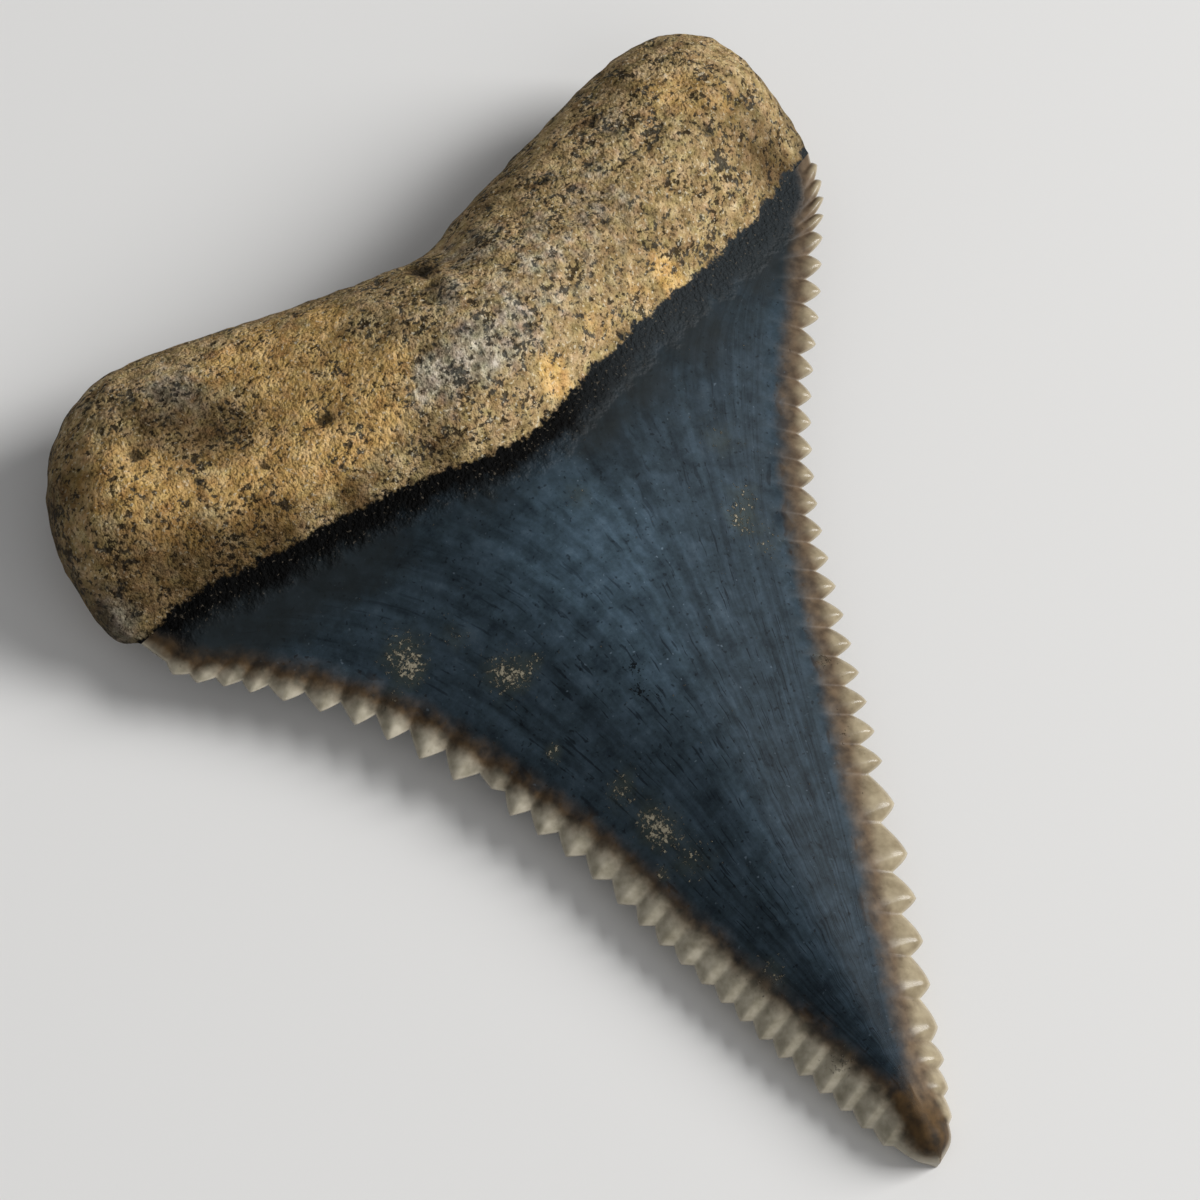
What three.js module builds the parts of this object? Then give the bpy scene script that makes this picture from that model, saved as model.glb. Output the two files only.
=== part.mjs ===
// A fossil great white shark tooth, grown as one piece: a blade of dark blue-grey enamel with two
// serrated cutting edges, on a thick two-lobed root of sandy brown dentine.
// It lies on its flat outer face, with the domed inner face up. Millimetres, +Z up, the root towards
// +Y and the tip towards -Y. The origin is on the surface it lies on, under the middle of its plan.
import * as THREE from "three";

// Driving sizes of the tooth
const LOBE_TOP = 6.9; // height of the root's two lobes
const BOSS = { x: -0.5, y: 12.4, width: 6.5, length: 5.0, rise: 2.0 }; // hump in the root's middle
const SADDLE = { x: -9.5, y: 15.0, width: 3.6, length: 5.0, rise: -0.7 }; // dip beside it
const GROOVE = { x: 0.9, y: 18.0, width: 1.1, length: 3.2, rise: -0.6 }; // it runs in from the notch
const ROOT_WAIST = 3.2; // height at which the root is widest
const ROOT_ROUND_TOP = 4.3; // width of the root's rounding above its waist
const ROOT_ROUND_UNDER = 2.4; // and below it
const NECK_STEP = 0.8; // the root stands this far above the enamel beside it
const NECK_STEP_WIDTH = 1.3;
const NECK_BLEND = 4.5; // distance over which the crown's section turns into the root's
const DOME_RISE_NECK = 4.3; // dome of the enamel above its cutting edges, at the neck
const DOME_RISE_TIP = 1.0; // and close to the tip
const CREST_ROUND = 0.38; // the lower, the more the dome is a roof of two flat slopes
const DOME_TAPER = 1.1; // above 1 the dome and the edges get lower sooner on the way to the tip
const EDGE_TAPER = 1.2;
const EDGE_HEIGHT_NECK = 2.5; // height of the cutting edges at the root's corners
const EDGE_HEIGHT_TIP = 0.8;
const BLADE_LENGTH = 36; // those heights are reached about this far from the tip
const LEVEL_OFF = 0.15; // they level off over this share of that length before it and after it
const CREST_SHIFT = 0.08; // at the neck the crest runs this share of the width left of the middle
const TIP_ROUND = 1.3; // the dome rounds off over this last stretch
const UNDER_ARCH = 0.45; // hollow of the outer face between its three resting spots
const ARCH_HALF_WIDTH = 8.5;
const TURN_UP_POWER = 3.2; // the higher, the narrower the margin that turns up to the edges
const TIP_SPOT = 6; // length of the resting spot under the tip
const STRIP_WIDTH = 1.6; // the serrations and their ridges die away over this strip beside the edge
const STRIP_SHARE = 0.4; // which is at most this share of the blade's width
const STRIP_TURN = 10; // near the corners it leans towards the neck
const V_FADE = 1.6; // the higher, the sooner the rows straighten out on the way to the tip

// The root's rim in plan, from the left corner of the enamel over both lobes to the right corner
const ROOT_RIM = [
  [-17.1, 9.7], [-17.9, 10.7], [-18.3, 12.6], [-18.2, 15.0], [-17.3, 17.6], [-15.6, 19.5], [-13.2, 20.5],
  [-9.0, 20.2], [-4.6, 19.4], [-1.2, 19.0], [0.6, 19.1], [2.9, 20.1], [6.9, 21.7], [10.4, 23.1], [13.2, 23.8],
  [15.4, 23.5], [16.9, 22.3], [17.6, 20.3], [18.0, 18.1], [18.0, 16.3],
];
const LEFT_SIDE_SHARE = 0.22; // share of the rim that is the left lobe's end
const RIGHT_SIDE_SHARE = 0.15; // and the right lobe's end

// The neck, where the root stops on the inner face: a lopsided V that points at the tip
const NECK = [
  [-17.1, 9.7], [-14.6, 9.9], [-11.4, 9.5], [-6.4, 9.0], [-2.4, 8.4], [0.2, 8.5], [4.2, 10.2], [8.0, 11.8],
  [12.6, 13.4], [15.6, 15.0], [18.0, 16.3],
];

// The cutting edges in plan, along the notches between their serrations, from corner to tip.
// "valleys" pairs the number of serrations passed with the distance along the edge, and "depths"
// pairs it with the serrations' depth. "peak" is where in its pitch a serration stands out most, at
// the corner and at the tip, "rounded" is 0 for triangles and 1 for waves, and "ridgeRise" is the
// extra height of their ridges. "lead" and "tail" count the rows of facets before and after them.
const TIP = [-0.7, -23.4];
const LEFT_EDGE = {
  side: -1,
  points: [
    [-17.1, 9.7], [-16.1, 7.7], [-14.4, 6.4], [-11.6, 3.9], [-9.3, 0.9], [-7.3, -3.4], [-5.9, -7.3],
    [-5.0, -11.4], [-3.7, -16.1], [-2.5, -20.0], [-1.9, -21.9], [-1.4, -22.9], TIP,
  ],
  valleys: [[0, 1.3], [4, 5.5], [8, 11.4], [10, 14.7], [12, 17.2], [16, 22.8], [20, 27.1],
    [24, 31.1], [29, 36.1]],
  depths: [[0, 0.35], [4, 0.5], [9, 0.8], [12, 0.6], [16, 0.55], [19, 0.36], [24, 0.36], [29, 0.2]],
  peak: [0.58, 0.68],
  rounded: 0.25,
  ridgeRise: 0.05,
  chipped: 10,
  lead: 12,
  tail: 10,
};
const RIGHT_EDGE = {
  side: 1,
  points: [
    [18.0, 16.3], [17.1, 14.2], [15.2, 11.8], [13.1, 8.9], [10.9, 5.6], [8.7, 1.4], [6.9, -3.6], [5.6, -7.6],
    [4.5, -11.0], [3.2, -14.6], [1.9, -18.1], [1.2, -20.3], [0.5, -22.0], [0.1, -22.9], TIP,
  ],
  valleys: [[0, 0.5], [4, 4.0], [8, 8.8], [16, 18.6], [24, 28.7], [26, 32.8], [28, 36.2],
    [30, 39.6], [33, 42.8]],
  depths: [[0, 0.3], [7, 0.7], [12, 0.62], [24, 0.62], [26, 0.76], [29, 0.55], [31, 0.3], [33, 0.18]],
  peak: [0.5, 0.74],
  rounded: 0.6,
  ridgeRise: 0.09,
  chipped: null,
  lead: 2,
  tail: 4,
};
const CHIP_LEFT = 0.3; // share of its depth that the chipped serration has left
const UNEVENNESS = 0.14; // the serrations' depths vary by this share
const UNEVEN_STEP = 12.9; // angle from one serration to the next in that variation, in radians

// How finely the surface is faceted
const ROWS_PER_SERRATION = 4;
const ROOT_ROWS = 12;
const STRIP_COLUMNS = [0, 0.22, 0.53, 1]; // places of the columns across a strip
const MIDDLE_COLUMNS = 8;
const MIDDLE_CROWDING = 0.5; // 0 spaces the columns evenly, and 1 crowds them at the ends
const ROOT_CROWDING = 0.8;
const CURVE_STEPS = 600;
const OUTLINE_STEPS = 240;

const clamp01 = (x) => THREE.MathUtils.clamp(x, 0, 1);
const mix = THREE.MathUtils.lerp;
const smooth = (x) => THREE.MathUtils.smoothstep(x, 0, 1);
const roundOff = (x) => Math.sqrt(1 - (1 - clamp01(x)) ** 2); // a quarter circle, 0 at the rim
const hump = (t) => 12.2 * t * (1 - t) ** 4; // 0 at both ends, 1 at a fifth of the way
const crest = (s) => (Math.hypot(s, CREST_ROUND) - CREST_ROUND) / (Math.hypot(1, CREST_ROUND) - CREST_ROUND);
const hillAt = ({ x, y, width, length, rise }, p) =>
  rise * Math.exp(-(((p.x - x) / width) ** 2) - ((p.y - y) / length) ** 2);

// The second number at a given first number in a list of pairs, on straight lines between them
function along(pairs, x) {
  const last = pairs.length - 1;
  if (x <= pairs[0][0]) return pairs[0][1];
  if (x >= pairs[last][0]) return pairs[last][1];
  const k = pairs.findIndex((pair) => pair[0] > x);
  const [x0, y0] = pairs[k - 1];
  const [x1, y1] = pairs[k];
  return mix(y0, y1, (x - x0) / (x1 - x0));
}

function curveThrough(points) {
  const curve = new THREE.SplineCurve(points.map(([x, y]) => new THREE.Vector2(x, y)));
  curve.arcLengthDivisions = CURVE_STEPS;
  return curve;
}

const tip = new THREE.Vector2(...TIP);
const rim = curveThrough(ROOT_RIM);
const neck = curveThrough(NECK);
const leftCorner = rim.getPointAt(0);
const rightCorner = rim.getPointAt(1);
const leftShoulder = rim.getPointAt(LEFT_SIDE_SHARE);
const rightShoulder = rim.getPointAt(1 - RIGHT_SIDE_SHARE);

// A function that gives a point's distance from a curve
function distanceFrom(curve) {
  const points = curve.getSpacedPoints(OUTLINE_STEPS);
  const toSegment = (p, a, b) => {
    const run = b.clone().sub(a);
    const share = clamp01(p.clone().sub(a).dot(run) / run.lengthSq());
    return a.clone().addScaledVector(run, share).distanceTo(p);
  };
  return (p) => Math.min(...points.slice(1).map((b, i) => toSegment(p, points[i], b)));
}

const fromRim = distanceFrom(rim);
const fromLeftEdge = distanceFrom(curveThrough(LEFT_EDGE.points));
const fromRightEdge = distanceFrom(curveThrough(RIGHT_EDGE.points));

// The serration at a distance along its edge: the serrations are rounded cones that meet in sharp
// notches. "depth" is how far it stands out there, and "rise" how much its ridge adds to the height.
function serrationAt(edge, distance) {
  const { valleys } = edge;
  const [count, last] = valleys.at(-1);
  if (distance <= valleys[0][1] || distance >= last) return { depth: 0, rise: 0 };
  const passed = along(valleys.map(([number, place]) => [place, number]), distance);
  const number = Math.floor(passed);
  const share = passed - number;
  const peak = mix(...edge.peak, number / count);
  const turn = share < peak ? (0.5 * share) / peak : 0.5 + (0.5 * (share - peak)) / (1 - peak);
  const ridge = mix(1 - Math.abs(2 * turn - 1), Math.sin(Math.PI * turn), edge.rounded);
  const uneven = 1 + UNEVENNESS * Math.sin(UNEVEN_STEP * number + edge.side);
  const whole = number === edge.chipped ? CHIP_LEFT : 1;
  const depth = along(edge.depths, passed) * uneven * whole * ridge;
  return { depth, rise: edge.ridgeRise * smooth(ridge) };
}

// One entry for each row of facets down a cutting edge, with its place, inward direction and serration
function edgeRows(edge) {
  const curve = curveThrough(edge.points);
  const length = curve.getLength();
  const [count, last] = edge.valleys.at(-1);
  const first = edge.valleys[0][1];
  const distances = [];
  for (let i = 0; i < edge.lead; i++) distances.push((first * i) / edge.lead);
  for (let i = 0; i < count; i++) {
    const peak = mix(...edge.peak, i / count);
    for (let k = 0; k < ROWS_PER_SERRATION; k++) {
      const turn = k / ROWS_PER_SERRATION;
      const share = turn < 0.5 ? 2 * turn * peak : peak + (2 * turn - 1) * (1 - peak);
      distances.push(along(edge.valleys, i + share));
    }
  }
  for (let i = 0; i <= edge.tail; i++) distances.push(mix(last, length, i / edge.tail));
  return distances.map((distance) => {
    const share = Math.min(distance / length, 1);
    const run = curve.getTangentAt(share);
    const inward = new THREE.Vector2(run.y, -run.x).multiplyScalar(edge.side);
    return { distance, share, at: curve.getPointAt(share), inward, ...serrationAt(edge, distance) };
  });
}

const leftRows = edgeRows(LEFT_EDGE);
const rightRows = edgeRows(RIGHT_EDGE);
if (leftRows.length !== rightRows.length) throw new Error("the two edges need the same number of rows");

// Where the columns of points cross the neck, as shares of its length, and how those between the two
// strips are spaced. "crowded" moves evenly spaced shares towards both ends.
const crowded = (k, n, how) => mix(k / n, (1 - Math.cos((Math.PI * k) / n)) / 2, how);
const MIDDLE = Array.from({ length: MIDDLE_COLUMNS - 1 }, (_, k) =>
  crowded(k + 1, MIDDLE_COLUMNS, MIDDLE_CROWDING));
const STRIP_END = STRIP_WIDTH / neck.getLength();
const ACROSS = [
  ...STRIP_COLUMNS.map((t) => t * STRIP_END),
  ...MIDDLE.map((t) => mix(STRIP_END, 1 - STRIP_END, t)),
  ...STRIP_COLUMNS.map((t) => 1 - t * STRIP_END).reverse(),
];
const neckFrom = neck.getPointAt(STRIP_END);
const neckTo = neck.getPointAt(1 - STRIP_END);

// A share that rises evenly and then levels off at 1
function levelled(x) {
  const over = THREE.MathUtils.clamp(x - 1 + LEVEL_OFF, 0, 2 * LEVEL_OFF);
  return Math.min(x, 1 + LEVEL_OFF) - over ** 2 / (4 * LEVEL_OFF);
}

// The blade's two faces at a point of the plan: a dome between the cutting edges over a flat outer
// face that turns up to them, with a slight arch along its middle. "edge" is the edges' own height.
function bladeAt(plan) {
  const toTip = plan.distanceTo(tip);
  const up = levelled(toTip / BLADE_LENGTH);
  const left = fromLeftEdge(plan);
  const across = left / (left + fromRightEdge(plan));
  const edge = mix(EDGE_HEIGHT_TIP, EDGE_HEIGHT_NECK, up ** EDGE_TAPER);
  const rise = mix(DOME_RISE_TIP, DOME_RISE_NECK, up ** DOME_TAPER) * roundOff(toTip / TIP_ROUND);
  const archLength = smooth((toTip - TIP_SPOT) / TIP_SPOT);
  const arch = UNDER_ARCH * Math.max(0, 1 - (plan.x / ARCH_HALF_WIDTH) ** 2) * archLength;
  const middle = 0.5 - CREST_SHIFT * up;
  const aside = Math.abs(across - middle) / (across < middle ? middle : 1 - middle);
  const turnUp = aside ** TURN_UP_POWER;
  const top = edge + rise * (1 - crest(aside));
  return { edge, top, arch, under: mix(arch, edge, turnUp) };
}

// The points of a row in the strip beside one cutting edge: their plan on the smooth blade, how far
// the serration pushes them out from there, and the height of its ridge
function stripPoints(row, alongNeck, width) {
  const square = smooth(row.distance / STRIP_TURN);
  const inward = alongNeck.multiplyScalar(1 - square).addScaledVector(row.inward, square).normalize();
  return STRIP_COLUMNS.map((t) => ({
    plan: row.at.clone().addScaledVector(inward, t * width),
    push: inward.clone().multiplyScalar(-row.depth * (1 - smooth(t))),
    ridge: row.rise * hump(t),
  }));
}

// The points of one row of the blade's two faces: a strip beside each cutting edge, and between them
// a lopsided V that follows the neck and straightens out towards the tip
function crownPoints(left, right) {
  const width = Math.min(STRIP_WIDTH, STRIP_SHARE * left.at.distanceTo(right.at));
  const leftStrip = stripPoints(left, neck.getTangentAt(0), width);
  const rightStrip = stripPoints(right, neck.getTangentAt(1).negate(), width);
  const from = leftStrip.at(-1).plan;
  const to = rightStrip.at(-1).plan;
  const fade = (1 - (left.share + right.share) / 2) ** V_FADE;
  const middle = MIDDLE.map((t) => {
    const sag = neck.getPointAt(mix(STRIP_END, 1 - STRIP_END, t)).sub(neckFrom.clone().lerp(neckTo, t));
    return { plan: from.clone().lerp(to, t).addScaledVector(sag, fade), push: new THREE.Vector2(), ridge: 0 };
  });
  return [...leftStrip, ...middle, ...rightStrip.reverse()].map(({ plan, push, ridge }) => {
    const { top, under } = bladeAt(plan);
    return { plan: plan.clone().add(push), top: top + ridge, under };
  });
}

// A point of the root's upper and under faces. "up" runs from 0 at the neck to 1 at the rim.
function rootPoint(across, up) {
  const onRim = rim.getPointAt(mix(LEFT_SIDE_SHARE, 1 - RIGHT_SIDE_SHARE, across));
  const onNeck = neck.getPointAt(across);
  const onLeft = rim.getPointAt(up * LEFT_SIDE_SHARE);
  const onRight = rim.getPointAt(1 - up * RIGHT_SIDE_SHARE);
  const corners = leftCorner.clone().lerp(rightCorner, across).multiplyScalar(1 - up);
  corners.addScaledVector(leftShoulder.clone().lerp(rightShoulder, across), up);
  const plan = onNeck.clone().lerp(onRim, up).add(onLeft.lerp(onRight, across)).sub(corners);
  const fromNeck = plan.distanceTo(onNeck);
  const inside = fromRim(plan);
  const blade = bladeAt(plan);
  const blend = smooth(fromNeck / NECK_BLEND);
  const waist = mix(blade.edge, ROOT_WAIST, blend);
  if (up === 1 || across === 0 || across === 1) return { plan, top: waist, under: waist };
  const lobes = LOBE_TOP + hillAt(BOSS, plan) + hillAt(SADDLE, plan) + hillAt(GROOVE, plan);
  const step = smooth(fromNeck / NECK_STEP_WIDTH);
  const top = mix(blade.top + NECK_STEP * step, lobes, blend);
  const rounding = mix(1, roundOff(inside / ROOT_ROUND_TOP), step);
  const flat = mix(waist, blade.arch, roundOff(inside / ROOT_ROUND_UNDER));
  return { plan, top: mix(waist, top, rounding), under: mix(blade.under, flat, blend) };
}

// The two faces as sheets of points, in rows from the root's rim to the tip, that share their border
function toothGeometry() {
  const rows = [];
  for (let r = 0; r < ROOT_ROWS; r++) {
    const up = 1 - crowded(r, ROOT_ROWS, ROOT_CROWDING);
    rows.push(ACROSS.map((across) => rootPoint(across, up)));
  }
  for (let r = 0; r + 1 < leftRows.length; r++) rows.push(crownPoints(leftRows[r], rightRows[r]));

  const positions = [];
  const addVertex = (plan, height) => {
    positions.push(plan.x, plan.y, Math.max(height, 0));
    return positions.length / 3 - 1;
  };
  const last = ACROSS.length - 1;
  const onBorder = (r, c) => r === 0 || c === 0 || c === last;
  const upper = rows.map((row) => row.map((p) => addVertex(p.plan, p.top)));
  const lower = rows.map((row, r) =>
    row.map((p, c) => (onBorder(r, c) ? upper[r][c] : addVertex(p.plan, p.under))),
  );
  const end = addVertex(tip, EDGE_HEIGHT_TIP);

  const faces = [];
  for (let r = 0; r + 1 < rows.length; r++) {
    for (let c = 0; c < last; c++) {
      const [a, b, d, e] = [upper[r][c], upper[r][c + 1], upper[r + 1][c], upper[r + 1][c + 1]];
      faces.push(a, d, b, b, d, e);
      const [f, g, h, i] = [lower[r][c], lower[r][c + 1], lower[r + 1][c], lower[r + 1][c + 1]];
      faces.push(f, g, h, g, i, h);
    }
  }
  for (let c = 0; c < last; c++) {
    faces.push(upper.at(-1)[c], end, upper.at(-1)[c + 1]);
    faces.push(lower.at(-1)[c], lower.at(-1)[c + 1], end);
  }
  const geometry = new THREE.BufferGeometry();
  geometry.setAttribute("position", new THREE.Float32BufferAttribute(positions, 3));
  geometry.setIndex(faces);
  geometry.computeBoundingBox();
  const middle = geometry.boundingBox.getCenter(new THREE.Vector3());
  geometry.translate(-middle.x, -middle.y, -geometry.boundingBox.min.z);
  geometry.computeVertexNormals();
  return geometry;
}

const fossilTooth = new THREE.MeshStandardMaterial({ color: "#4a4f55", roughness: 0.55, metalness: 0 });
const tooth = new THREE.Mesh(toothGeometry(), fossilTooth);
tooth.name = "tooth";

const group = new THREE.Group();
group.add(tooth);

export default group;
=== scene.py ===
import math

import bpy
import numpy as np
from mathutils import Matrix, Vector, noise


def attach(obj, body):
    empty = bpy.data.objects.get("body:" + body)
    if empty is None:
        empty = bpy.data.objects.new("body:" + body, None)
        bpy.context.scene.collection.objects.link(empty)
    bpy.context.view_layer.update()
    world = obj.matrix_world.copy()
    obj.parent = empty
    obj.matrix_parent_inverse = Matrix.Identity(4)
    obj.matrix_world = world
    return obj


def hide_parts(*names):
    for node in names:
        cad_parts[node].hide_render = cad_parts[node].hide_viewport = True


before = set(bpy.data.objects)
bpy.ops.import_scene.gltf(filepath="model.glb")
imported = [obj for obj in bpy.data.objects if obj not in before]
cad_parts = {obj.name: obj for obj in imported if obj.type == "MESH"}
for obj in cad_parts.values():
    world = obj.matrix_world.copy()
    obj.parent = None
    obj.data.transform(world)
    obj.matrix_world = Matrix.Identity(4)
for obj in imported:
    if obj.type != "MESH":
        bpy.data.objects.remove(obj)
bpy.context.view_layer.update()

scene = bpy.context.scene

# The camera looks down on the fossil's inner face from over its tip, a little to the left, through
# a 90 mm portrait lens. Its frame is square. Distances are in metres, as everywhere in Blender.
CAMERA_TARGET = (-0.00015, 0.00227, 0.002)
CAMERA_AZIMUTH = -30
CAMERA_ELEVATION = 64
CAMERA_DISTANCE = 0.12
LENS = 90
SENSOR = 36

azimuth = math.radians(CAMERA_AZIMUTH)
elevation = math.radians(CAMERA_ELEVATION)
towards_camera = Vector((
    math.sin(azimuth) * math.cos(elevation),
    -math.cos(azimuth) * math.cos(elevation),
    math.sin(elevation),
))
camera = bpy.data.objects.new("camera", bpy.data.cameras.new("camera"))
camera.data.lens = LENS
camera.data.sensor_width = SENSOR
camera.data.clip_start = 0.005
camera.location = Vector(CAMERA_TARGET) + CAMERA_DISTANCE * towards_camera
camera.rotation_euler = (-towards_camera).to_track_quat("-Z", "Y").to_euler()
scene.collection.objects.link(camera)
scene.camera = camera

# The tooth: one piece, grown in layers and then turned to mineral. A blade of glossy enamel with two
# serrated cutting edges sits on a thick two-lobed root of porous dentine. Its form is two sheets of
# points that share their border, in plan millimetres with the root towards +Y and the tip towards -Y.
LOBE_TOP = 6.9  # height of the root's two lobes
BOSS = (-0.5, 12.4, 6.5, 5.0, 2.0)  # hump in the root's middle: x, y, width, length, rise
SADDLE = (-9.5, 15.0, 3.6, 5.0, -0.7)  # dip beside it
GROOVE = (0.9, 18.0, 1.1, 3.2, -0.6)  # it runs in from the notch
ROOT_WAIST = 3.2  # height at which the root is widest
ROOT_ROUND_TOP = 4.3  # width of the root's rounding above its waist
ROOT_ROUND_UNDER = 2.4  # and below it
NECK_STEP = 0.8  # the root stands this far above the enamel beside it
NECK_STEP_WIDTH = 1.3
NECK_BLEND = 4.5  # distance over which the crown's section turns into the root's
DOME_RISE_NECK = 4.3  # dome of the enamel above its cutting edges, at the neck
DOME_RISE_TIP = 1.0  # and close to the tip
CREST_ROUND = 0.38  # the lower, the more the dome is a roof of two flat slopes
DOME_TAPER = 1.1  # above 1 the dome and the edges get lower sooner on the way to the tip
EDGE_TAPER = 1.2
EDGE_HEIGHT_NECK = 2.5  # height of the cutting edges at the root's corners
EDGE_HEIGHT_TIP = 0.8
BLADE_LENGTH = 36  # those heights are reached about this far from the tip
LEVEL_OFF = 0.15  # they level off over this share of that length before it and after it
CREST_SHIFT = 0.08  # at the neck the crest runs this share of the width left of the middle
TIP_ROUND = 1.3  # the dome rounds off over this last stretch
UNDER_ARCH = 0.45  # hollow of the outer face between its three resting spots
ARCH_HALF_WIDTH = 8.5
TURN_UP_POWER = 3.2  # the higher, the narrower the margin that turns up to the edges
TIP_SPOT = 6  # length of the resting spot under the tip
STRIP_WIDTH = 1.6  # the serrations and their ridges die away over this strip beside the edge
STRIP_SHARE = 0.4  # which is at most this share of the blade's width
STRIP_TURN = 10  # near the corners it leans towards the neck
V_FADE = 1.6  # the higher, the sooner the rows straighten out on the way to the tip

# The root's rim, the neck where the enamel starts, and the cutting edges along the notches
ROOT_RIM = [
    (-17.1, 9.7), (-17.9, 10.7), (-18.3, 12.6), (-18.2, 15.0), (-17.3, 17.6), (-15.6, 19.5), (-13.2, 20.5),
    (-9.0, 20.2), (-4.6, 19.4), (-1.2, 19.0), (0.6, 19.1), (2.9, 20.1), (6.9, 21.7), (10.4, 23.1),
    (13.2, 23.8), (15.4, 23.5), (16.9, 22.3), (17.6, 20.3), (18.0, 18.1), (18.0, 16.3),
]
LEFT_SIDE_SHARE = 0.22  # share of the rim that is the left lobe's end
RIGHT_SIDE_SHARE = 0.15  # and the right lobe's end
NECK = [
    (-17.1, 9.7), (-14.6, 9.9), (-11.4, 9.5), (-6.4, 9.0), (-2.4, 8.4), (0.2, 8.5), (4.2, 10.2),
    (8.0, 11.8), (12.6, 13.4), (15.6, 15.0), (18.0, 16.3),
]
TIP = (-0.7, -23.4)
# "valleys" pairs the number of serrations passed with the distance along the edge, "depths" pairs it
# with their depth, "peak" is where in its pitch a serration stands out most at the corner and the tip,
# "rounded" is 0 for triangles and 1 for waves, and "ridge_rise" is the extra height of their ridges.
# "chipped" is the number of the chipped one, or -1. "lead" and "tail" count rows before and after them.
LEFT_EDGE = {
    "side": -1,
    "points": [
        (-17.1, 9.7), (-16.1, 7.7), (-14.4, 6.4), (-11.6, 3.9), (-9.3, 0.9), (-7.3, -3.4), (-5.9, -7.3),
        (-5.0, -11.4), (-3.7, -16.1), (-2.5, -20.0), (-1.9, -21.9), (-1.4, -22.9), TIP,
    ],
    "valleys": [(0, 1.3), (4, 5.5), (8, 11.4), (10, 14.7), (12, 17.2), (16, 22.8), (20, 27.1), (24, 31.1),
                (29, 36.1)],
    "depths": [(0, 0.35), (4, 0.5), (9, 0.8), (12, 0.6), (16, 0.55), (19, 0.36), (24, 0.36), (29, 0.2)],
    "peak": (0.58, 0.68),
    "rounded": 0.25,
    "ridge_rise": 0.05,
    "chipped": 10,
    "lead": 12,
    "tail": 10,
}
RIGHT_EDGE = {
    "side": 1,
    "points": [
        (18.0, 16.3), (17.1, 14.2), (15.2, 11.8), (13.1, 8.9), (10.9, 5.6), (8.7, 1.4), (6.9, -3.6),
        (5.6, -7.6), (4.5, -11.0), (3.2, -14.6), (1.9, -18.1), (1.2, -20.3), (0.5, -22.0), (0.1, -22.9), TIP,
    ],
    "valleys": [(0, 0.5), (4, 4.0), (8, 8.8), (16, 18.6), (24, 28.7), (26, 32.8), (28, 36.2), (30, 39.6),
                (33, 42.8)],
    "depths": [(0, 0.3), (7, 0.7), (12, 0.62), (24, 0.62), (26, 0.76), (29, 0.55), (31, 0.3), (33, 0.18)],
    "peak": (0.5, 0.74),
    "rounded": 0.6,
    "ridge_rise": 0.09,
    "chipped": -1,
    "lead": 2,
    "tail": 4,
}
CHIP_LEFT = 0.3  # share of its depth that the chipped serration has left
UNEVENNESS = 0.14  # the serrations' depths vary by this share
UNEVEN_STEP = 12.9  # angle from one serration to the next in that variation, in radians

# How finely the surface is laid out
FINER = 3  # lead and tail rows for each one that the edges' lists give
ROWS_PER_SERRATION = 12
ROOT_ROWS = 66
STRIP_COLUMNS = np.linspace(0, 1, 15) ** 1.25  # places of the columns across a strip
MIDDLE_COLUMNS = 104
MIDDLE_CROWDING = 0.3  # 0 spaces the columns evenly, and 1 crowds them at the ends
ROOT_CROWDING = 0.6
UNDER_SKIP = 4  # the outer face takes every fourth of the middle columns
OUTLINE_STEPS = 240
FAR = 9.0  # stands for a distance that is too large to matter, in millimetres


def mix(a, b, t):
    return a + (b - a) * t


def smooth(x):
    t = np.clip(x, 0, 1)
    return t * t * (3 - 2 * t)


def round_off(x):
    """A quarter circle, 0 at the rim."""
    return np.sqrt(1 - (1 - np.clip(x, 0, 1)) ** 2)


def crest(aside):
    """How far a rounded roof has come down: 0 on its crest and 1 at its eaves."""
    return (np.hypot(aside, CREST_ROUND) - CREST_ROUND) / (np.hypot(1, CREST_ROUND) - CREST_ROUND)


def levelled(x):
    """A share that rises evenly and then levels off at 1."""
    return np.minimum(x, 1 + LEVEL_OFF) - np.clip(x - 1 + LEVEL_OFF, 0, 2 * LEVEL_OFF) ** 2 / (4 * LEVEL_OFF)


def hump(t):
    """0 at both ends, and 1 at a fifth of the way."""
    return 12.2 * t * (1 - t) ** 4


def hill(plan, x, y, width, length, rise):
    """A round rise or dip at one place of the plan."""
    return rise * np.exp(-((plan[..., 0] - x) / width) ** 2 - ((plan[..., 1] - y) / length) ** 2)


def crowded(t, how):
    """Evenly spaced shares moved towards both ends."""
    return mix(t, (1 - np.cos(np.pi * t)) / 2, how)


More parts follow.
